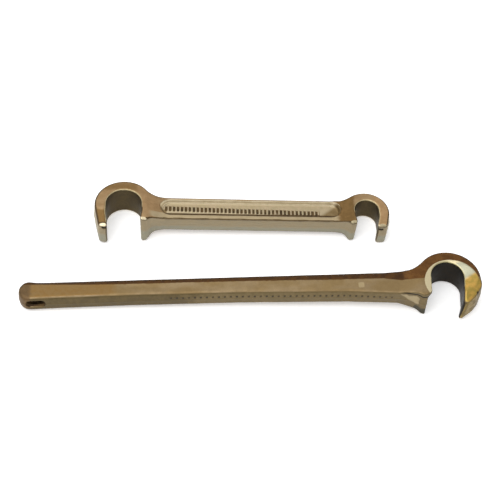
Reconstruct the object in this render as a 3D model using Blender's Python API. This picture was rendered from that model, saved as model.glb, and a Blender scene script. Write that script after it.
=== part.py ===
"""Two bronze valve-wheel hook wrenches lying side by side: a long single-ended one with a solid
handle and a hang slot, and a short double-ended one with a recessed web handle.

Each wrench is one drop forging, so each is one closed body. A body is laid out the way its die
is: a plan outline parted at mid thickness, walls drawn in by draft towards both faces, edges
rolled over by their own radius, and faces lifted to the thickness each place has. The dished ring
round the long hook, the web pockets and the hang slot are then cut. Sizes are in millimetres.
"""
import math

import bmesh
import bpy
from mathutils import Matrix, Vector

MM = 0.001
ARC_STEP = 7.5                        # degrees per chord on outline arcs
DRAFT = math.tan(math.radians(4.0))   # forging draft of the side walls
OUTER_DRAFT = math.tan(math.radians(8.5))   # the outside of a hook is drafted harder
LIP_LEVELS = (0.55, 0.8)              # between these wall levels the heel steps under its lip

# Long wrench: its frame has the bore centre at 0, the handle along -X and the mouth towards -Y.
LONG_REACH = 402.0                    # bore centre to the far end of the handle
LONG_HEAD_HALF_T = 16.0
LONG_HANDLE_HALF_T = 9.0
LONG_NECK = (-60.0, -20.0)            # the head's faces rise between these
LONG_TIP_DROP = (1.5, 7.5)            # under and upper face of the hook's tip, drawn in by this
LONG_TIP_LEAN = (-2.8, -1.4)          # the tip reaches further on the underside
LONG_EDGE, LONG_HANDLE_EDGE = 1.3, 3.0
LONG_HOOK = dict(
    bore=15.8, arc_ends=(-5.0, 184.0), outer=(0.6, -2.6, 32.4), outer_end=-10.0, fillet=23.0,
    back=10.4,
    tip=((31.0, -13.6, 12.0), (24.4, -21.8, 14.0), (9.6, -33.6, 2.8)),
    inner=((13.8, -17.0, 24.0),),
    heel=((-16.4, -9.0, 12.0), (-17.2, -18.2, 4.0), (-22.2, -22.8, 4.0), (-25.8, -22.8, 3.2),
          (-30.0, -18.4, 8.0), (-45.0, -15.6, 40.0), (-95.0, -12.4, 60.0)),
)
LONG_EDGE_LINE = ((-200.0, -10.8, 200.0), (-300.0, -11.3, 200.0), (-376.0, -12.9, 40.0))
LONG_FAR_END = ((-402.8, -14.1, 11.4), (-402.8, 9.7, 11.4), (-378.0, 8.9, 40.0))
LONG_JAW = -20.7                      # under its lip the heel's jaw steps back to here
DISH_CENTRE, DISH_RADIUS = (2.8, -7.8), 25.8
DISH_SLOPE = math.tan(math.radians(17.0))
SLOT_X, SLOT_Z, SLOT_LEN, SLOT_TALL = -386.5, 0.8, 16.0, 6.6

# Short wrench: bore centre of the big hook at 0, handle along +X, mouths towards -Y.
SHORT_SPAN = 238.5                    # between the two bore centres
BIG_HALF_T, SMALL_HALF_T, SHORT_HANDLE_HALF_T = 16.0, 12.8, 9.4
BIG_NECK, SMALL_NECK = (15.0, 43.0), (SHORT_SPAN - 36.0, SHORT_SPAN - 12.0)
SHORT_EDGE, SHORT_HANDLE_EDGE = 1.1, 1.5
POCKET_X, POCKET_Y, POCKET_DEPTH = (36.5, 212.0), (-7.6, 10.6), 4.4
BIG_HOOK = dict(
    bore=17.4, arc_ends=(-3.0, 182.0), outer=(-0.1, -0.3, 29.5), outer_end=-8.0, fillet=17.0,
    back=14.4,
    tip=((24.0, -24.8, 4.0), (15.0, -26.4, 2.8)),
    inner=((17.6, -10.0, 24.0),),
    heel=((-17.6, -8.0, 10.0), (-16.3, -20.4, 3.2), (-21.8, -21.2, 3.2), (-28.0, -14.6, 8.0)),
)
SMALL_HOOK = dict(
    bore=11.9, arc_ends=(-3.0, 182.0), outer=(-1.2, -2.2, 25.0), outer_end=-8.0, fillet=22.0,
    back=13.6,
    tip=((18.8, -22.0, 3.0), (8.8, -22.6, 2.8)),
    inner=((12.1, -8.0, 16.0),),
    heel=((-11.2, -6.0, 6.0), (-10.6, -17.8, 2.8), (-15.8, -19.3, 2.8), (-21.5, -14.2, 8.0)),
)
SHORT_FRONT = -13.7
BIG_TIP_DROP = (1.2, 5.4)
HEEL_LEAN = 1.7                       # the heels reach further out on the underside
NECK_LEAN = 2.4                       # and the necks behind them on the upper side

# How the two lie on the ground: turn about Z, tilt about Y, where each frame's origin is.
LONG_PLACE = (0.0, -0.95, (184.89, -46.003, 16.45))
SHORT_PLACE = (-1.16, 0.78, (-121.21, 46.097, 16.33))

# Surface levels of a body, from the parting line (0) up the wall (1) and over the edge (1 to 2).
LEVELS = (0.0, 0.5, 0.8, 1.0, 1.33, 1.67, 2.0)


def arc(cx, cy, r, a0, a1, step=ARC_STEP):
    """Corner-free points on an arc from a0 to a1 degrees."""
    n = max(1, math.ceil(abs(a1 - a0) / step))
    angles = [math.radians(a0 + (a1 - a0) * i / n) for i in range(n + 1)]
    return [(cx + r * math.cos(a), cy + r * math.sin(a), 0.0) for a in angles]


def rounded(points):
    """Replace every corner that has a radius with an arc of it."""
    out = []
    for i, (x, y, r) in enumerate(points):
        if r <= 0.0:
            out.append(Vector((x, y)))
            continue
        p = Vector((x, y))
        a = Vector(points[i - 1][:2]) - p
        b = Vector(points[(i + 1) % len(points)][:2]) - p
        la, lb = a.length, b.length
        a, b = a / la, b / lb
        half = a.angle(b) / 2
        cut = min(r / math.tan(half), la * 0.48, lb * 0.48)
        r = cut * math.tan(half)
        centre = p + (a + b).normalized() * (r / math.sin(half))
        start, end = p + a * cut - centre, p + b * cut - centre
        sweep = -start.angle_signed(end)
        n = max(2, math.ceil(abs(math.degrees(sweep)) / (1.6 * ARC_STEP)))
        for k in range(n + 1):
            t = sweep * k / n
            out.append(centre + Vector((start.x * math.cos(t) - start.y * math.sin(t),
                                        start.x * math.sin(t) + start.y * math.cos(t))))
    return out


def hook(h):
    """Corners of a hook: back edge of the handle, over the top, tip, bore, heel."""
    ox, oy, big = h["outer"]
    reach = big + h["fillet"]
    rise = h["back"] + h["fillet"] - oy
    fx = ox - math.sqrt(reach ** 2 - rise ** 2)
    join = math.degrees(math.atan2(rise, fx - ox))
    points = arc(fx, h["back"] + h["fillet"], h["fillet"], -90.0, join - 180.0)
    points += arc(ox, oy, big, join, h["outer_end"])[1:]
    points += list(h["tip"]) + list(h["inner"])
    points += arc(0.0, 0.0, h["bore"], *h["arc_ends"])
    return points + list(h["heel"])


def blend(x, x0, x1, y0, y1):
    t = min(1.0, max(0.0, (x - x0) / (x1 - x0)))
    return y0 + (y1 - y0) * t * t * (3 - 2 * t)


def keep(name, bm, collection):
    """Store a millimetre bmesh as an object in metres."""
    bmesh.ops.recalc_face_normals(bm, faces=bm.faces)
    bm.transform(Matrix.Scale(MM, 4))
    mesh = bpy.data.meshes.new(name)
    bm.to_mesh(mesh)
    bm.free()
    obj = bpy.data.objects.new(name, mesh)
    collection.objects.link(obj)
    return obj


def wall_draft(p, normal, hook_at, h, outer_draft):
    """None inside a mouth, the hook's own round the outside, the general one elsewhere."""
    out = Vector((p.x - hook_at, p.y))
    if out.length > h["outer"][2] + 6.0:
        return DRAFT
    facing = -normal.dot(out.normalized())
    if facing < 0.0 or out.y < -12.0 and facing < 0.5:
        return 0.0
    return blend(facing, 0.0, 0.6, 0.0, blend(-p.y, 5.0, 12.0, outer_draft, 0.6 * DRAFT))


def forged_body(name, corners, cuts, half_t, edge_radius, draft_at, lean_at):
    """Closed body from a plan outline. Rings carry their level as z until the faces are split
    along the cuts; then every vertex is lifted to the thickness of its place."""
    loop = rounded(corners)
    n = len(loop)
    if sum(loop[i - 1].cross(loop[i]) for i in range(n)) < 0:
        loop.reverse()
    rings = []
    bm = bmesh.new()
    for side in (-1, 1):
        for level in LEVELS[1:] if side > 0 else LEVELS[:0:-1] + LEVELS[:1]:
            ring = []
            for i, p in enumerate(loop):
                d0 = (p - loop[i - 1]).normalized()
                d1 = (loop[(i + 1) % n] - p).normalized()
                normal = Vector((-d0.y - d1.y, d0.x + d1.x)).normalized()
                r = edge_radius(p)
                inset = draft_at(p, normal) * (half_t(p, side) - r) * min(1.0, level)
                if level > 1.0:
                    inset += r * (1.0 - math.cos((level - 1.0) * math.pi / 2))
                inset /= max(0.6, normal.dot(Vector((-d0.y, d0.x))))
                q = p + normal * inset + lean_at(p, side * level)
                ring.append(bm.verts.new((q.x, q.y, side * level)))
            rings.append(ring)
    for low, high in zip(rings, rings[1:]):
        for i in range(n):
            bm.faces.new((low[i - 1], low[i], high[i], high[i - 1]))
    caps = [bm.faces.new(rings[-1]), bm.faces.new(rings[0][::-1])]
    bm.normal_update()
    bmesh.ops.triangulate(bm, faces=caps)
    for axis, value, low_x in cuts:
        faces = [f for f in bm.faces if min(v.co.x for v in f.verts) >= low_x]
        geom = faces + list({e for f in faces for e in f.edges})
        geom += list({v for f in faces for v in f.verts})
        co = (value, 0, 0) if axis == "x" else (0, value, 0)
        no = (1, 0, 0) if axis == "x" else (0, 1, 0)
        bmesh.ops.bisect_plane(bm, geom=geom, dist=0.02, plane_co=co, plane_no=no)
    for v in bm.verts:
        side = -1 if v.co.z < 0 else 1
        level = abs(v.co.z)
        half, r = half_t(v.co, side), edge_radius(v.co)
        z = (half - r) * min(1.0, level)
        if level > 1.0:
            z += r * math.sin((level - 1.0) * math.pi / 2)
        v.co.z = side * z
    bm.normal_update()
    flat = [f for f in bm.faces if len(f.verts) > 4]
    bmesh.ops.triangulate(bm, faces=flat)
    return keep(name, bm, wrenches)


def cutter(name, rings):
    """Closed body through rings of equal count; each ring is a list of (x, y, z)."""
    bm = bmesh.new()
    rows = [[bm.verts.new(p) for p in ring] for ring in rings]
    n = len(rows[0])
    for low, high in zip(rows, rows[1:]):
        for i in range(n):
            bm.faces.new((low[i - 1], low[i], high[i], high[i - 1]))
    bm.faces.new(rows[0][::-1])
    bm.faces.new(rows[-1])
    obj = keep(name, bm, cutters)
    obj.hide_render = True
    obj.display_type = "WIRE"
    return obj


def obround(length, width, z, grow, centre=(0.0, 0.0)):
    r = width / 2 + grow
    half = length / 2 - width / 2
    cx, cy = centre
    points = arc(cx + half, cy, r, -90.0, 90.0, 15.0) + arc(cx - half, cy, r, 90.0, 270.0, 15.0)
    return [(x, y, z) for x, y, _ in points]


def finish(body, place, tools, color):
    """Cut the body, put body and cutters where the wrench lies, give it its bronze."""
    turn, tilt, at = place
    world = (Matrix.Translation(Vector(at) * MM) @ Matrix.Rotation(math.radians(turn), 4, "Z")
             @ Matrix.Rotation(math.radians(tilt), 4, "Y"))
    body.matrix_world = world
    for tool in tools:
        tool.matrix_world = world
        cut = body.modifiers.new(tool.name, "BOOLEAN")
        cut.object = tool
        cut.operation = "DIFFERENCE"
        cut.solver = "EXACT"
    material = bpy.data.materials.new(body.name + "_bronze")
    material.use_nodes = True
    shader = material.node_tree.nodes["Principled BSDF"]
    shader.inputs["Base Color"].default_value = color
    shader.inputs["Metallic"].default_value = 1.0
    shader.inputs["Roughness"].default_value = 0.45
    body.data.materials.append(material)


def long_wrench():
    corners = hook(LONG_HOOK) + list(LONG_EDGE_LINE) + list(LONG_FAR_END)

    def half_t(p, side):
        half = blend(p.x, *LONG_NECK, LONG_HANDLE_HALF_T, LONG_HEAD_HALF_T)
        drop = LONG_TIP_DROP[side > 0]
        return half - (blend(-p.y, 3.0, 33.0, 0.0, drop) if p.x > 5.0 else 0.0)

    def edge_radius(p):
        return blend(p.x, *LONG_NECK, LONG_HANDLE_EDGE, LONG_EDGE)

    def draft_at(p, normal):
        return wall_draft(p, normal, 0.0, LONG_HOOK, OUTER_DRAFT)

    def lean_at(p, level):
        if p.y > -6.0:
            return Vector((0.0, 0.0))
        if p.x > 0.0:
            return Vector(LONG_TIP_LEAN) * blend(-p.y, 18.0, 30.0, 0.0, -level / 2.0)
        under = blend(level, *LIP_LEVELS, 0.85, 0.0) * blend(-p.y, 6.0, 14.0, 0.0, 1.0)
        neck = blend(p.x, -80.0, -46.0, 0.0, 1.0) * blend(p.x, -30.0, -22.0, 1.0, 0.0)
        return Vector((min(0.0, LONG_JAW - p.x) * under, -NECK_LEAN * neck * level / 2.0))

    steps = [("x", blend(i / 8, 0.0, 1.0, *LONG_NECK), -90.0) for i in range(9)]
    steps += [("y", -4.0 - 5.0 * i, 5.0) for i in range(6)]
    body = forged_body("long_wrench", corners, steps, half_t, edge_radius, draft_at, lean_at)
    cx, cy = DISH_CENTRE
    dish = []
    for r in (DISH_RADIUS - 18.0, DISH_RADIUS + 6.0):
        z = LONG_HEAD_HALF_T + (r - DISH_RADIUS) * DISH_SLOPE
        dish.append([(x, y, z) for x, y, _ in arc(cx, cy, r, 0.0, 360.0, 6.0)[:-1]])
    dish_cut = cutter("dish_cut", dish)
    slot = []
    for y, grow in ((-24.0, 1.3), (-11.7, 1.3), (-10.7, 0.0), (6.6, 0.0), (7.6, 1.3), (24.0, 1.3)):
        slot.append([(x, y, z) for x, z, _ in obround(SLOT_LEN, SLOT_TALL, 0.0, grow,
                                                      (SLOT_X, SLOT_Z))])
    slot_cut = cutter("slot_cut", slot)
    finish(body, LONG_PLACE, (dish_cut, slot_cut), (0.42, 0.29, 0.13, 1.0))


def short_wrench():
    big = [(-x, y, r) for x, y, r in reversed(hook(BIG_HOOK))]
    big.insert(0, (40.0, SHORT_FRONT, 18.0))
    small = [(x + SHORT_SPAN, y, r) for x, y, r in hook(SMALL_HOOK)]
    small.append((SHORT_SPAN - 34.0, SHORT_FRONT, 18.0))

    def half_t(p, side):
        half = blend(p.x, *BIG_NECK, BIG_HALF_T, SHORT_HANDLE_HALF_T)
        half += blend(p.x, *SMALL_NECK, 0.0, SMALL_HALF_T - SHORT_HANDLE_HALF_T)
        drop = BIG_TIP_DROP[side > 0]
        return half - (blend(-p.y, 4.0, 27.0, 0.0, drop) if p.x < -5.0 else 0.0)

    def edge_radius(p):
        in_handle = blend(p.x, *BIG_NECK, 0.0, 1.0) * blend(p.x, *SMALL_NECK, 1.0, 0.0)
        return SHORT_EDGE + (SHORT_HANDLE_EDGE - SHORT_EDGE) * in_handle

    def draft_at(p, normal):
        if p.x < SHORT_SPAN / 2:
            return wall_draft(p, normal, 0.0, BIG_HOOK, DRAFT)
        return wall_draft(p, normal, SHORT_SPAN, SMALL_HOOK, OUTER_DRAFT)

    def lean_at(p, level):
        if not 0.0 < p.x < SHORT_SPAN or p.y > -6.0:
            return Vector((0.0, 0.0))
        on_small = p.x > SHORT_SPAN / 2
        from_heel = SHORT_SPAN - p.x if on_small else p.x
        root, foot = (15.0, 26.0) if on_small else (21.0, 32.0)
        heel = blend(from_heel, root, foot, 1.0, 0.0) * blend(-p.y, 10.0, 17.0, 0.0, 1.0)
        neck = blend(from_heel, root, foot - 3.0, 0.0, 1.0)
        neck *= blend(from_heel, foot + 2.0, foot + 12.0, 1.0, 0.0)
        shift = Vector((0.7 if on_small else -0.3, 1.0)) * (HEEL_LEAN * heel)
        return (shift - Vector((0.0, NECK_LEAN * neck))) * (level / 2.0)

    steps = [("x", blend(i / 6, 0.0, 1.0, *neck), -90.0)
             for neck in (BIG_NECK, SMALL_NECK) for i in range(7)]
    body = forged_body("short_wrench", big + small, steps, half_t, edge_radius, draft_at, lean_at)
    length, width = POCKET_X[1] - POCKET_X[0], POCKET_Y[1] - POCKET_Y[0]
    centre = (sum(POCKET_X) / 2, sum(POCKET_Y) / 2)
    face, floor = SHORT_HANDLE_HALF_T, SHORT_HANDLE_HALF_T - POCKET_DEPTH
    shape = ((0.0, -2.0), (0.35, -1.0), (1.3, -0.3), (POCKET_DEPTH - 1.2, 0.0),
             (POCKET_DEPTH - 0.4, 0.4), (POCKET_DEPTH + 0.02, 1.2), (POCKET_DEPTH + 9.0, 1.3))
    tools = []
    for label, side in (("top", 1.0), ("under", -1.0)):
        rings = [obround(length, width, side * (floor + up), grow, centre) for up, grow in shape]
        tools.append(cutter("pocket_" + label, rings))
    finish(body, SHORT_PLACE, tools, (0.45, 0.34, 0.18, 1.0))


for item in list(bpy.data.objects):
    bpy.data.objects.remove(item)
wrenches = bpy.data.collections.new("valve_wheel_hook_wrenches")
cutters = bpy.data.collections.new("cutters")
bpy.context.scene.collection.children.link(wrenches)
bpy.context.scene.collection.children.link(cutters)
long_wrench()
short_wrench()
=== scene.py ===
"""Studio scene of two bronze valve-wheel hook wrenches, a long single-ended one and a short
double-ended one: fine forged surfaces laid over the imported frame, on a pale floor."""

import math

import bpy
import numpy as np
from mathutils import Euler, Matrix, Vector, noise


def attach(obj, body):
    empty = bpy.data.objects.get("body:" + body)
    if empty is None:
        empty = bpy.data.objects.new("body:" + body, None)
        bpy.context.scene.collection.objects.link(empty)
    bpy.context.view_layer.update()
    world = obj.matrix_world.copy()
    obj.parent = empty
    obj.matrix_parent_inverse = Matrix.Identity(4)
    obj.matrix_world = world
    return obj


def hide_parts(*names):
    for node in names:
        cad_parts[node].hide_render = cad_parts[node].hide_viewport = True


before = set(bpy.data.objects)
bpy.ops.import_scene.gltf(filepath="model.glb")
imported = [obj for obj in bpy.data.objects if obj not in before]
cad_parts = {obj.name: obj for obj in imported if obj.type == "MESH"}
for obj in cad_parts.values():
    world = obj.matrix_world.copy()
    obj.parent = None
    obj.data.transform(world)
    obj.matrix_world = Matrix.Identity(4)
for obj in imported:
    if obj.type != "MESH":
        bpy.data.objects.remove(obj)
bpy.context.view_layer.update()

MM = 0.001
# Where each wrench lies: turn about Z, tilt about Y (degrees), its frame's origin (mm).
LONG_PLACE = (0.0, -0.95, (184.89, -46.003, 16.45))
SHORT_PLACE = (-1.16, 0.78, (-121.21, 46.097, 16.33))

SETTLE_ROUNDS = 3                     # smoothing after the remesh

# Long wrench, in its own frame: bore centre at 0, handle along -X, mouth towards -Y (mm).
LONG_GRID = 0.70                      # surface grid
LONG_FACE = 16.0                      # the head's half thickness
DISH_CENTRE, DISH_RADIUS = (2.8, -7.8), 25.8
DISH_SLOPE = math.tan(math.radians(17.0))
LONG_BORE = 15.8
NECK_FADE = (-62.0, -34.0)            # the handle's shape fades out here, towards the head
END_FADE = (-398.0, -385.0)           # and here, towards the far end
BACK_FLAT = 3.4                       # behind this the handle's faces slope away
BACK_SLOPE = 0.34
SLOT_X, SLOT_Z = -386.5, 0.8
SLOT_HALF_LEN, SLOT_HALF_TALL = 8.8, 4.2
PIP_START, PIP_END, PIP_PITCH = -262.0, -54.0, 5.6
PIP_Z, PIP_RISE = 3.4, 0.45
# Front border of the dark band along the back: where, and how far back.
BAND_X = (-385.0, -330.0, -280.0, -190.0, -110.0, -60.0, -44.0, -20.0)
BAND_Y = (3.8, 2.2, 2.0, 2.0, 1.1, 1.2, -1.8, -3.0)
SCUFF = (-82.0, -5.0)                 # a small lighter patch on the handle
CHIP_INNER, CHIP_OUTER = (13.8, -29.0), (26.0, -18.4)
HEEL_X, FACET_X, LIP_Z = -33.0, -38.0, 11.4

# Short wrench: big bore centre at 0, handle along +X, mouths towards -Y (mm).
SHORT_GRID = 0.66
SHORT_SPAN = 238.5
BIG_BORE, SMALL_BORE = 17.4, 11.9
# Corners of tip and heel, outwards from the bore centre and in y.
BIG_CORNERS = ((19.3, -25.2), (-19.0, -20.2))
SMALL_CORNERS = ((13.8, -21.8), (-13.2, -17.8))
DIMPLE_HALF_X, DIMPLE_HALF_Y, DIMPLE_DEPTH = 4.4, 3.0, 0.5
NICK_Z, NICK_DEPTH = 8.0, 0.35
POCKET_X, POCKET_Y = (36.5, 212.0), (-7.6, 10.6)
POCKET_FLOOR = 5.0
POCKET_MIDDLE = (sum(POCKET_X) / 2, sum(POCKET_Y) / 2)
RIB_START, RIB_PITCH, RIB_WIDTH, RIB_HEIGHT = 43.1, 3.9, 1.3, 0.75
RIB_ROW_X, RIB_ROW_HALF = 116.0, 76.0


def srgb(r, g, b):
    """Linear colour from 0-255 display values."""
    return tuple(((c / 255 + 0.055) / 1.055) ** 2.4 if c > 10 else c / 255 / 12.92
                 for c in (r, g, b)) + (1.0,)


def step(x, low, high):
    """Smooth 0 to 1 ramp of an array."""
    t = np.clip((x - low) / (high - low), 0.0, 1.0)
    return t * t * (3 - 2 * t)


def hill(x, half, soft):
    """1 within half of 0, falling to 0 over soft."""
    return 1.0 - step(np.abs(x), half, half + soft)


def place_matrix(place):
    """A wrench's own frame in the scene."""
    turn, tilt, at = place
    return (Matrix.Translation(Vector(at) * MM) @ Matrix.Rotation(math.radians(turn), 4, "Z")
            @ Matrix.Rotation(math.radians(tilt), 4, "Y"))


def waves(points, size, seed):
    """Smooth noise of a feature size in mm, about -1 to 1."""
    shift = Vector((seed * 7.3, seed * -3.1, seed * 5.7))
    return np.array([noise.noise(Vector(p) / size + shift) for p in points.tolist()])


class Surface:
    """A fine even skin over one CAD node, with its points in the wrench's own frame (mm)."""

    def __init__(self, node, name, place, grid):
        self.world = place_matrix(place)
        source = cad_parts[node]
        self.obj = bpy.data.objects.new(name, source.data.copy())
        bpy.context.scene.collection.objects.link(self.obj)
        remesh = self.obj.modifiers.new("grid", "REMESH")
        remesh.mode = "VOXEL"
        remesh.voxel_size = grid * MM
        remesh.use_smooth_shade = True
        smooth = self.obj.modifiers.new("settle", "SMOOTH")
        smooth.factor, smooth.iterations = 0.5, SETTLE_ROUNDS
        seen = self.obj.evaluated_get(bpy.context.evaluated_depsgraph_get())
        mesh = bpy.data.meshes.new_from_object(seen)
        self.obj.modifiers.clear()
        self.obj.data = mesh
        mesh.materials.clear()
        mesh.name = name
        ends = np.zeros(len(mesh.edges) * 2, np.int32)
        mesh.edges.foreach_get("vertices", ends)
        self.a, self.b = ends.reshape(-1, 2).T
        self.count = np.bincount(np.concatenate((self.a, self.b)), minlength=len(mesh.vertices))
        self.read()

    def read(self):
        mesh = self.obj.data
        co = np.zeros(len(mesh.vertices) * 3)
        mesh.vertices.foreach_get("co", co)
        nor = np.zeros(len(mesh.vertices) * 3)
        mesh.vertices.foreach_get("normal", nor)
        turn = np.array(self.world.to_3x3())
        self.p = (co.reshape(-1, 3) - np.array(self.world.translation)) @ turn / MM
        self.n = nor.reshape(-1, 3) @ turn

    def write(self):
        turn = np.array(self.world.to_3x3())
        co = self.p * MM @ turn.T + np.array(self.world.translation)
        self.obj.data.vertices.foreach_set("co", co.ravel())
        self.obj.data.update()
        self.read()

    def around(self, values):
        """Mean of each point's neighbours."""
        total = np.zeros_like(values)
        np.add.at(total, self.a, values[self.b])
        np.add.at(total, self.b, values[self.a])
        return total / np.maximum(self.count, 1)

    def blur(self, values, rounds):
        for _ in range(rounds):
            values = 0.5 * values + 0.5 * self.around(values)
        return values

    def rounding(self):
        """1 along the rounded edges of the faces, clear of the parting line."""
        tip = np.abs(self.n[:, 2])
        edge = step(tip, 0.15, 0.35) * (1 - step(tip, 0.80, 0.92))
        return self.blur(edge * step(np.abs(self.p[:, 2]), 2.5, 4.0), 1)

    def mark(self, **fields):
        for name, values in fields.items():
            layer = self.obj.data.attributes.new(name, "FLOAT", "POINT")
            layer.data.foreach_set("value", np.clip(values, 0.0, 1.0).astype(np.float32))


def repeat(x, start, pitch):
    """Signed distance to the nearest member of an even row."""
    along = (x - start) / pitch
    return (along - np.round(along)) * pitch


def parting(z, nz, height, soft):
    """A low ridge round the walls at mid thickness."""
    return height * hill(z, 0.25, soft) * step(-np.abs(nz), -0.6, -0.3)


def long_surface():
    s = Surface("long_wrench", "long_wrench_forging", LONG_PLACE, LONG_GRID)
    x, y, z = s.p.T
    handle = 1.0 - step(x, *NECK_FADE)
    # the handle's faces fall away towards its back edge
    fall = BACK_SLOPE * np.clip(y - BACK_FLAT, 0.0, None) * handle * step(x, *END_FADE)
    s.p[:, 2] -= np.sign(z) * fall * step(np.abs(z), 2.0, 6.0)
    s.write()
    x, y, z = s.p.T
    nx, ny, nz = s.n.T
    r = np.hypot(x, y)

    # the ground cone round the bore and the ground top of the hook's limb
    dish_r = np.hypot(x - DISH_CENTRE[0], y - DISH_CENTRE[1])
    cone = LONG_FACE + (dish_r - DISH_RADIUS) * DISH_SLOPE
    on_cone = hill(z - cone, 0.5, 0.5) * (1 - step(dish_r, DISH_RADIUS - 0.5, DISH_RADIUS + 0.3))
    limb = step(x, 4.0, 8.0) * step(-y, 4.0, 9.0)
    polish = np.maximum(on_cone * step(nz, 0.5, 0.8), limb * step(nz, 0.75, 0.9))

    # the bore's wall, the limb's inner wall and the slot's walls; the bore is painted with dark
    # oxide and painted shade, the slot with painted shade
    facing_in = -(nx * x + ny * y) / np.maximum(r, 1.0)
    bore = step(facing_in, 0.1, 0.5) * (1 - step(r, LONG_BORE + 1.0, LONG_BORE + 2.2))
    limb_wall = step(-nx, 0.3, 0.7) * step(x, 2.0, 5.0) * step(-y, 0.0, 3.0)
    bore = np.maximum(bore, limb_wall * (1 - step(x, 16.5, 18.0)))
    bore *= 1 - step(nz, 0.35, 0.6)
    slot = hill(x - SLOT_X, SLOT_HALF_LEN, 0.6) * hill(z - SLOT_Z, SLOT_HALF_TALL, 0.6)
    slot *= 1 - step(np.abs(ny), 0.65, 0.9)

    # a plain row of equal raised pips along the front edge, each with a painted shadow on one
    # side
    front = step(-ny, 0.45, 0.75) * (1 - polish) * (1 - bore)
    from_pip = repeat(x, PIP_START, PIP_PITCH)
    pip = hill(from_pip, 0.7, 0.7) * hill(z - PIP_Z, 0.9, 0.7)
    pit = hill(from_pip - 1.3, 0.7, 0.7) * hill(z - PIP_Z + 0.4, 1.0, 0.8)
    row = step(x, PIP_START - 2, PIP_START) * (1 - step(x, PIP_END, PIP_END + 4.0)) * front
    lift = 0.10 * waves(s.p, 11.0, 1) + 0.035 * waves(s.p, 2.6, 2)
    lift += parting(z, nz, 0.16, 0.75)
    s.p += s.n * (lift * (1.0 - np.maximum(polish, bore)) + PIP_RISE * pip * row)[:, None]
    s.write()

    # fields for the paint; nx, ny and nz are still the smooth normals from before the lift
    edge = np.minimum(1.3 * s.rounding(), 1.0)
    near_bore = (1 - step(r, LONG_BORE + 2.0, LONG_BORE + 3.0)) * step(nz, -0.2, 0.1)
    # the back band: the bronze's darker reddish patina along the back, deepened by painted shade
    # where the back slope faces away; on the crown it turns more orange
    brink = np.interp(x, BAND_X, BAND_Y)
    back = step(y - brink, -0.8, 0.8) * (1 - 0.3 * step(x, 2.0, 22.0)) * (1 - polish)
    back = s.blur(back, 2)
    wall = 1 - step(np.abs(nz), 0.4, 0.95)
    bare_side = wall * (1 - bore) * (1 - polish) * (1 - slot)
    # painted shade: the walls darker than the tops, a little lighter towards the head
    side = s.blur(bare_side, 3)
    heel = hill(x - HEEL_X, 16.0, 4.0) * step(-y, 12.0, 14.0)
    # a painted highlight on a triangular face of the heel's front wall
    facet = step(z - 8.0 + 0.75 * (x + 47.0), -1.0, 2.0) * (1 - step(z, 7.5, 10.0))
    facet *= hill(x - FACET_X, 8.0, 3.0) * front
    scuff = hill(x - SCUFF[0], 2.2, 1.0) * hill(y - SCUFF[1], 2.2, 1.0) * step(nz, 0.8, 0.9)
    chip = np.minimum(np.hypot(x - CHIP_INNER[0], y - CHIP_INNER[1]),
                      np.hypot(x - CHIP_OUTER[0], y - CHIP_OUTER[1]) + 0.6)
    chip = step(z, 6.0, 9.0) * (1 - step(chip, 1.2, 2.4))
    outer = np.maximum(step(ny, 0.0, 0.3), step(x, 6.0, 12.0)) * (1 - step(-y, 8.0, 13.0))
    # painted shade along the outer rounded edges
    outline = np.minimum(2.0 * s.blur(edge, 2), 1.0) * (1 - near_bore) * outer
    s.mark(polish=s.blur(polish, 1), bore=s.blur(bore, 1), slot=s.blur(slot, 1),
           back=back, crown=back * step(x, -50.0, -30.0),
           side=side, right=side * step(x, -290.0, -190.0),
           facet=s.blur(0.85 * facet, 6), scuff=s.blur(scuff, 2),
           amber=step(-x, 300.0, 325.0) * s.blur(step(nz, 0.93, 0.99), 2),
           butt=step(-x, 385.0, 397.0) * (1 - slot),
           tip=wall * (1 - 0.7 * bore) * step(x, 4.0, 8.0) * step(-y, 18.0, 22.0),
           foot=s.blur(step(x, -34.0, -30.0) * heel * step(-z, 1.0, 12.0) * bare_side, 2),
           # painted shadow beside each pip, and dark chips at the polished limb's corners
           nicks=s.blur(np.maximum(pit * row, chip), 1),
           # areas of the polished cone where its painted reflection turns gold, and a paler patch
           # of painted reflection
           gold=step(x - 0.5 * y, 8.0, 20.0) * step(-y + 0.5 * (x - 30.0), -12.0, 3.0),
           pearl=hill(x - 18.0, 6.0, 7.0) * hill(y - 6.5, 5.0, 7.0),
           # painted highlight round the bore, painted shade along the outer edges
           rim=edge * near_bore, outline=outline,
           # painted shade beneath the heel's lip
           under=hill(z - LIP_Z, 0.6, 0.7) * heel * bare_side)
    return s.obj


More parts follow.
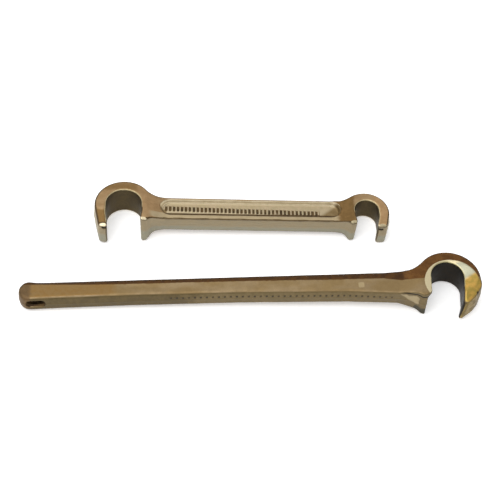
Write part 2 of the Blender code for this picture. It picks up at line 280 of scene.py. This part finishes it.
def short_surface():
    s = Surface("short_wrench", "short_wrench_forging", SHORT_PLACE, SHORT_GRID)
    x, y, z = s.p.T
    nx, ny, nz = s.n.T
    bore, near_bore, lens, glint, nick, inner = (np.zeros(len(x)) for _ in range(6))
    for centre, radius, out, corners in ((0.0, BIG_BORE, -1.0, BIG_CORNERS),
                                         (SHORT_SPAN, SMALL_BORE, 1.0, SMALL_CORNERS)):
        across = (x - centre) * out
        r = np.hypot(across, y)
        facing_in = -(nx * (x - centre) + ny * y) / np.maximum(r, 1.0)
        # the bore and limb walls, painted with dark oxide and painted shade
        ring = step(facing_in, 0.1, 0.5) * (1 - step(r, radius + 1.2, radius + 2.4))
        limb = step(-nx * out, 0.3, 0.7) * step(across, 2.0, 5.0) * step(-y, 0.0, 3.0)
        limb *= 1 - step(across, radius + 2, radius + 4)
        bore = np.maximum(bore, np.maximum(ring, limb))
        inner = np.maximum(inner, step(-nx * out, 0.1, 0.3) * step(across, 2.0, 5.0)
                           * step(-y, -2.0, 2.0) * (1 - step(-y, 20.0, 22.0)))
        heel_side = step(-across, 2.0, 8.0) * step(-y, 2.0, 6.0)
        near_bore = np.maximum(near_bore, (1 - step(r, radius + 2.2, radius + 3.2))
                               * (1 - heel_side))
        # a shallow dimple on each corner, carrying a painted highlight that is brighter on the
        # big hook, and a nick under the tip's
        for at, low in corners:
            spot = np.hypot((across - at) / DIMPLE_HALF_X, (y - low - 0.6) / DIMPLE_HALF_Y)
            spot = (1 - step(spot, 0.75, 1.1)) * step(nz, 0.1, 0.4)
            lens = np.maximum(lens, spot)
            if out < 0.0:
                glint = np.maximum(glint, spot)
        at, low = corners[0]
        nick = np.maximum(nick, hill(across - at + 1.2, 2.2, 0.9) * hill(z - NICK_Z, 0.8, 0.9)
                          * step(low + 1.5 - y, 0.0, 1.0))
    bore *= 1 - step(np.abs(nz), 0.35, 0.6)

    # the pocket, with a plain row of raised ribs along its floor
    inside = hill(x - POCKET_MIDDLE[0], 88.7, 1.5) * hill(y - POCKET_MIDDLE[1], 10.0, 0.9)
    pocket = inside * (1 - step(np.abs(z), 8.3, 9.0) * step(np.abs(nz), 0.85, 0.97))
    pocket *= hill(np.abs(z) - 6.9, 2.7, 0.6)
    band = hill(y - 1.9 + 0.024 * (x - 74.0), 2.7, 0.9) * hill(x - RIB_ROW_X, RIB_ROW_HALF, 1.0)
    band *= step(nz, 0.4, 0.7) * hill(z - POCKET_FLOOR, 1.2, 0.5)
    rib = hill(repeat(x, RIB_START, RIB_PITCH), RIB_WIDTH / 2 - 0.4, 0.8) * band
    lift = 0.07 * waves(s.p, 10.0, 3) + 0.02 * waves(s.p, 2.4, 4)
    lift += parting(z, nz, 0.12, 0.7)
    dents = DIMPLE_DEPTH * lens + NICK_DEPTH * nick
    s.p += s.n * (lift * (1 - bore) + RIB_HEIGHT * rib - dents)[:, None]
    s.write()

    # fields for the paint; nx, ny and nz are still the smooth normals from before the lift
    edge = np.minimum(1.3 * s.rounding(), 1.0) * (1 - inside)
    side = (1 - step(np.abs(nz), 0.3, 0.8)) * (1 - bore) * (1 - inside)
    # painted light: the pocket's back wall and its left end wall, nearly white so they show no
    # shade
    wall = inside * step(z, 0.0, 1.0) * (1 - step(nz, 0.5, 0.85))
    wall *= np.maximum(step(-ny, 0.15, 0.45), step(nx, 0.15, 0.45) * step(y, 0.0, 4.0))
    # darker at the pocket's ends: painted shade at the right end, a browner tone at the left
    # end's front half
    left_end = 0.9 * (1 - step(x, 39.5, 44.0)) * (1 - step(y, -1.0, 4.0))
    right_end = step(x - 1.2 * y, 188.0, 208.0)
    # painted shade along the outer rounded edges, heavier on the big hook's outer side
    outline = 2.8 * s.blur(edge, 2) + 3.0 * s.blur(edge, 4) * step(-x, 4.0, 12.0)
    outline = np.minimum(outline, 1.0) * (1 - near_bore) * (1 - inner)
    crown = 0.6 * step(y, 8.0, 20.0) * step(-x, -20.0, -10.0)
    small_neck = hill(x - SHORT_SPAN + 26.0, 9.0, 10.0)
    big_limb = step(-x, 10.0, 18.0) * step(-y, 4.0, 12.0)
    small_crown = step(x - SHORT_SPAN, 2.0, 14.0)
    big_neck = 0.5 * hill(x - 26.0, 6.0, 8.0)
    s.mark(bore=s.blur(bore, 1), pocket=s.blur(pocket, 2), side=s.blur(side, 1),
           # painted shade between the ribs
           gap=s.blur(band * (1 - rib), 1) * (0.85 + 0.4 * waves(s.p, 6.0, 9)),
           low=step(-z, -4.0, 8.0) * side, end=pocket * np.maximum(right_end, left_end),
           # painted highlights on the corner dimples
           lens=s.blur(lens, 1), glint=s.blur(glint, 1), nick=s.blur(nick, 1),
           wall=s.blur(wall, 1),
           shade=pocket * (1 - step(y, -3.3, -2.5)) * hill(x - POCKET_MIDDLE[0], 84.0, 6.0),
           # painted highlight on the bore rims and the limbs' inner edges
           rim=edge * np.maximum(near_bore, inner),
           # a painted highlight along the handle's front edge
           pale=hill(y + 10.2, 2.8, 1.4) * step(nz, 0.5, 0.8) * hill(x - 118.0, 84.0, 16.0),
           outline=outline * (1 - 0.5 * step(-ny, 0.4, 0.7)),
           brown=crown + small_neck + big_limb,
           tan=(small_crown + big_neck) * (1 - side))
    return s.obj


class Nodes:
    """Short hand for a material's node tree."""

    def __init__(self, name):
        self.material = bpy.data.materials.new(name)
        self.material.use_nodes = True
        self.tree = self.material.node_tree
        self.shader = self.tree.nodes["Principled BSDF"]
        self.coords = self.add("ShaderNodeTexCoord").outputs["Object"]

    def add(self, kind, **settings):
        node = self.tree.nodes.new(kind)
        for key, value in settings.items():
            setattr(node, key, value)
        return node

    def put(self, socket, value):
        if isinstance(value, bpy.types.NodeSocket):
            self.tree.links.new(value, socket)
        else:
            socket.default_value = value

    def noise(self, feature, detail=3.0, roughness=0.55, seed=0.0, stretch=(1.0, 1.0, 1.0)):
        """Noise from 0 to 1 whose features are about this many mm."""
        mapping = self.add("ShaderNodeMapping")
        mapping.inputs["Location"].default_value = (seed, seed * 0.7, -seed)
        mapping.inputs["Scale"].default_value = stretch
        self.put(mapping.inputs["Vector"], self.coords)
        tex = self.add("ShaderNodeTexNoise")
        tex.inputs["Scale"].default_value = 1000.0 / feature
        tex.inputs["Detail"].default_value = detail
        tex.inputs["Roughness"].default_value = roughness
        self.put(tex.inputs["Vector"], mapping.outputs["Vector"])
        return tex.outputs["Fac"]

    def field(self, name):
        return self.add("ShaderNodeAttribute", attribute_name=name).outputs["Fac"]

    def math(self, operation, a, b=0.0):
        node = self.add("ShaderNodeMath", operation=operation)
        self.put(node.inputs[0], a)
        self.put(node.inputs[1], b)
        return node.outputs[0]

    def ramp(self, value, low, high, to_low=0.0, to_high=1.0):
        node = self.add("ShaderNodeMapRange", interpolation_type="SMOOTHSTEP")
        self.put(node.inputs["Value"], value)
        for key, number in (("From Min", low), ("From Max", high),
                            ("To Min", to_low), ("To Max", to_high)):
            node.inputs[key].default_value = number
        return node.outputs["Result"]

    def mix(self, factor, a, b, blend="MIX"):
        node = self.add("ShaderNodeMix", data_type="RGBA", blend_type=blend)
        self.put(node.inputs["Factor"], factor)
        self.put(node.inputs["A"], a)
        self.put(node.inputs["B"], b)
        return node.outputs["Result"]

    def frayed(self, name, wobble, fray):
        """A field whose border is broken up by noise."""
        shaken = self.math("ADD", self.field(name), self.math(
            "MULTIPLY", self.math("SUBTRACT", wobble, 0.5), fray))
        return self.ramp(shaken, 0.25, 0.75)


def bronze(name, tones, layers, polish=None, gloss=(0.46, 0.60)):
    """Forged bronze: two mottled tones and layers (field, two tones, fray) laid over them."""
    m = Nodes(name)
    broad = m.noise(17.0, 3.0, 0.6, 1.3, (0.45, 1.0, 1.0))
    patch = m.noise(5.5, 4.0, 0.6, 4.1)
    grain = m.noise(0.9, 3.0, 0.7, 7.7)
    color = m.mix(m.ramp(broad, 0.36, 0.64), tones[0], tones[1])
    rough = m.ramp(patch, 0.3, 0.7, *gloss)
    if polish:
        # the polished faces' light and gold tones are painted reflections
        cream, pearl, warm, low = polish
        bright = m.mix(m.frayed("pearl", broad, 0.5), cream, pearl)
        bright = m.mix(m.frayed("gold", broad, 0.5), bright, m.mix(
            m.ramp(patch, 0.35, 0.65), warm, low))
        shine = m.frayed("polish", patch, 0.1)
        color = m.mix(shine, color, bright)
        rough = m.mix(shine, rough, m.ramp(grain, 0.3, 0.7, 0.3, 0.38))
    for field, first, second, fray in layers:
        coat = m.mix(m.ramp(patch, 0.38, 0.62), first, second)
        color = m.mix(m.frayed(field, patch, fray), color, coat)
    shade = m.ramp(grain, 0.3, 0.7, 0.94, 1.05)
    tint = m.add("ShaderNodeCombineColor")
    for key in ("Red", "Green", "Blue"):
        m.put(tint.inputs[key], shade)
    color = m.mix(1.0, color, tint.outputs["Color"], "MULTIPLY")
    m.put(m.shader.inputs["Base Color"], color)
    m.put(m.shader.inputs["Roughness"], rough)
    m.shader.inputs["Metallic"].default_value = 0.8
    bump = m.add("ShaderNodeBump")
    bump.inputs["Strength"].default_value = 0.25
    bump.inputs["Distance"].default_value = 0.0002
    m.put(bump.inputs["Height"], grain)
    m.put(m.shader.inputs["Normal"], bump.outputs["Normal"])
    return m.material


def long_bronze():
    return bronze(
        "long_bronze",
        (srgb(125, 104, 69), srgb(133, 114, 84)),
        (("amber", srgb(122, 94, 52), srgb(128, 102, 62), 0.8),
         # side and right: painted shade on the walls
         ("side", srgb(86, 73, 47), srgb(98, 84, 55), 0.3),
         ("right", srgb(102, 88, 59), srgb(115, 99, 69), 0.6),
         # painted highlight on the heel's front
         ("facet", srgb(150, 135, 105), srgb(162, 146, 114), 1.3),
         ("scuff", srgb(146, 130, 96), srgb(156, 138, 104), 0.4),
         ("tip", srgb(134, 114, 66), srgb(108, 92, 56), 0.5),
         ("foot", srgb(58, 54, 42), srgb(70, 66, 50), 0.3),
         ("butt", srgb(92, 72, 46), srgb(106, 84, 56), 1.2),
         # back and crown: darker patina deepened by painted shade on the back slope
         ("back", srgb(62, 38, 13), srgb(80, 52, 20), 0.9),
         ("crown", srgb(88, 56, 22), srgb(104, 70, 32), 0.5),
         # bore: dark oxide deepened by painted shade; slot: painted shade inside the slot
         ("bore", srgb(27, 22, 15), srgb(38, 31, 21), 0.2),
         ("slot", srgb(58, 42, 24), srgb(98, 76, 46), 0.7),
         # painted shadows beside the pips, and dark chips
         ("nicks", srgb(52, 43, 28), srgb(76, 64, 42), 0.2),
         # painted shade on the outer edges
         ("outline", srgb(50, 36, 18), srgb(64, 46, 24), 0.4),
         # painted shade beneath the heel's lip
         ("under", srgb(34, 28, 18), srgb(52, 43, 27), 0.3),
         # painted highlight round the bore
         ("rim", srgb(190, 180, 138), srgb(176, 166, 126), 0.2)),
        # painted reflections on the polished cone
        polish=(srgb(210, 196, 158), srgb(154, 152, 130), srgb(172, 136, 66), srgb(142, 121, 55)))


def short_bronze():
    return bronze(
        "short_bronze",
        (srgb(138, 111, 76), srgb(154, 129, 94)),
        (("brown", srgb(104, 79, 42), srgb(118, 91, 52), 0.6),
         ("tan", srgb(158, 127, 88), srgb(168, 137, 98), 0.4),
         # painted highlight along the front edge
         ("pale", srgb(160, 143, 111), srgb(168, 151, 120), 0.3),
         ("side", srgb(144, 130, 103), srgb(148, 136, 111), 0.2),
         ("low", srgb(138, 133, 113), srgb(142, 138, 121), 0.3),
         ("pocket", srgb(166, 152, 122), srgb(176, 160, 132), 0.2),
         # painted light on the pocket's back and end walls
         ("wall", srgb(226, 212, 178), srgb(232, 218, 186), 0.2),
         # painted shade at the pocket's right end, browner at its left end
         ("end", srgb(120, 100, 66), srgb(134, 114, 80), 0.4),
         # painted shade between the ribs
         ("gap", srgb(60, 46, 26), srgb(92, 73, 44), 0.7),
         ("shade", srgb(66, 50, 30), srgb(88, 70, 44), 0.4),
         # bore: dark oxide deepened by painted shade
         ("bore", srgb(76, 64, 40), srgb(88, 75, 48), 0.2),
         # painted shade on the outer edges
         ("outline", srgb(66, 50, 28), srgb(84, 66, 40), 0.4),
         ("nick", srgb(40, 32, 20), srgb(54, 43, 26), 0.4),
         # painted highlight on the rims
         ("rim", srgb(206, 190, 150), srgb(190, 174, 134), 0.2),
         # painted highlights on the corner dimples, brighter on the big hook's
         ("lens", srgb(178, 166, 136), srgb(160, 148, 118), 0.3),
         ("glint", srgb(222, 210, 180), srgb(208, 194, 162), 0.3)))


FLOOR_Z = -0.0004                     # just under the wrenches
FLOOR_TONES = (0.90, 0.90, 0.90, 1.0), (0.92, 0.92, 0.92, 1.0)
FLOOR_GLOW, SKY_STRENGTH = 0.34, 0.8
# Soft lights: name, place, size (metres) and power (watts).
LIGHTS = (("overhead", (-0.5, -0.2, 1.6), 1.4, 18.0),
          ("back", (-0.3, 1.3, 1.2), 1.0, 3.0))


def stage():
    bpy.ops.mesh.primitive_plane_add(size=6.0, location=(0.0, 0.0, FLOOR_Z))
    floor = bpy.context.object
    floor.name = "studio_floor"
    m = Nodes("studio_floor")
    paper = m.noise(30.0, 2.0, 0.5, 0.0)
    m.put(m.shader.inputs["Base Color"], m.mix(paper, *FLOOR_TONES))
    m.shader.inputs["Roughness"].default_value = 0.9
    m.shader.inputs["Specular IOR Level"].default_value = 0.1
    m.shader.inputs["Emission Color"].default_value = (1.0, 1.0, 1.0, 1.0)
    m.shader.inputs["Emission Strength"].default_value = FLOOR_GLOW
    floor.data.materials.append(m.material)
    world = bpy.data.worlds.new("studio")
    bpy.context.scene.world = world
    world.use_nodes = True
    sky = world.node_tree.nodes["Background"]
    sky.inputs["Color"].default_value = (1.0, 1.0, 1.0, 1.0)
    sky.inputs["Strength"].default_value = SKY_STRENGTH
    for name, place, size, power in LIGHTS:
        light = bpy.data.lights.new(name, "AREA")
        light.shape, light.size, light.energy = "SQUARE", size, power
        lamp = bpy.data.objects.new(name, light)
        lamp.location = place
        lamp.rotation_euler = (-Vector(place)).to_track_quat("-Z", "Y").to_euler()
        bpy.context.scene.collection.objects.link(lamp)


# Camera: looks down on the pair from the front, a little left of centre, slightly rolled.
AZIMUTH, ELEVATION, ROLL = -5.5075, 51.516, 3.7818
TARGET, DISTANCE, LENS = (0.000946, 0.003560, 0.01024), 1.20652, 89.503


def camera():
    data = bpy.data.cameras.new("camera")
    data.lens, data.sensor_width = LENS, 36.0
    data.clip_start, data.clip_end = 0.01, 20.0
    obj = bpy.data.objects.new("camera", data)
    turn = (Euler((math.radians(90.0 - ELEVATION), 0.0, math.radians(AZIMUTH))).to_matrix()
            @ Matrix.Rotation(math.radians(ROLL), 3, "Z")).to_4x4()
    back = turn.to_3x3() @ Vector((0.0, 0.0, 1.0))
    obj.matrix_world = Matrix.Translation(Vector(TARGET) + back * DISTANCE) @ turn
    bpy.context.scene.collection.objects.link(obj)
    bpy.context.scene.camera = obj


for make, node, body, slot, paint in (
        (long_surface, "long_wrench", "long", "bronze_long", long_bronze),
        (short_surface, "short_wrench", "short", "bronze_short", short_bronze)):
    piece = make()
    piece.data.materials.append(paint())
    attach(piece, body)
    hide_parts(node)

stage()
camera()
bpy.context.scene.view_settings.view_transform = "Standard"
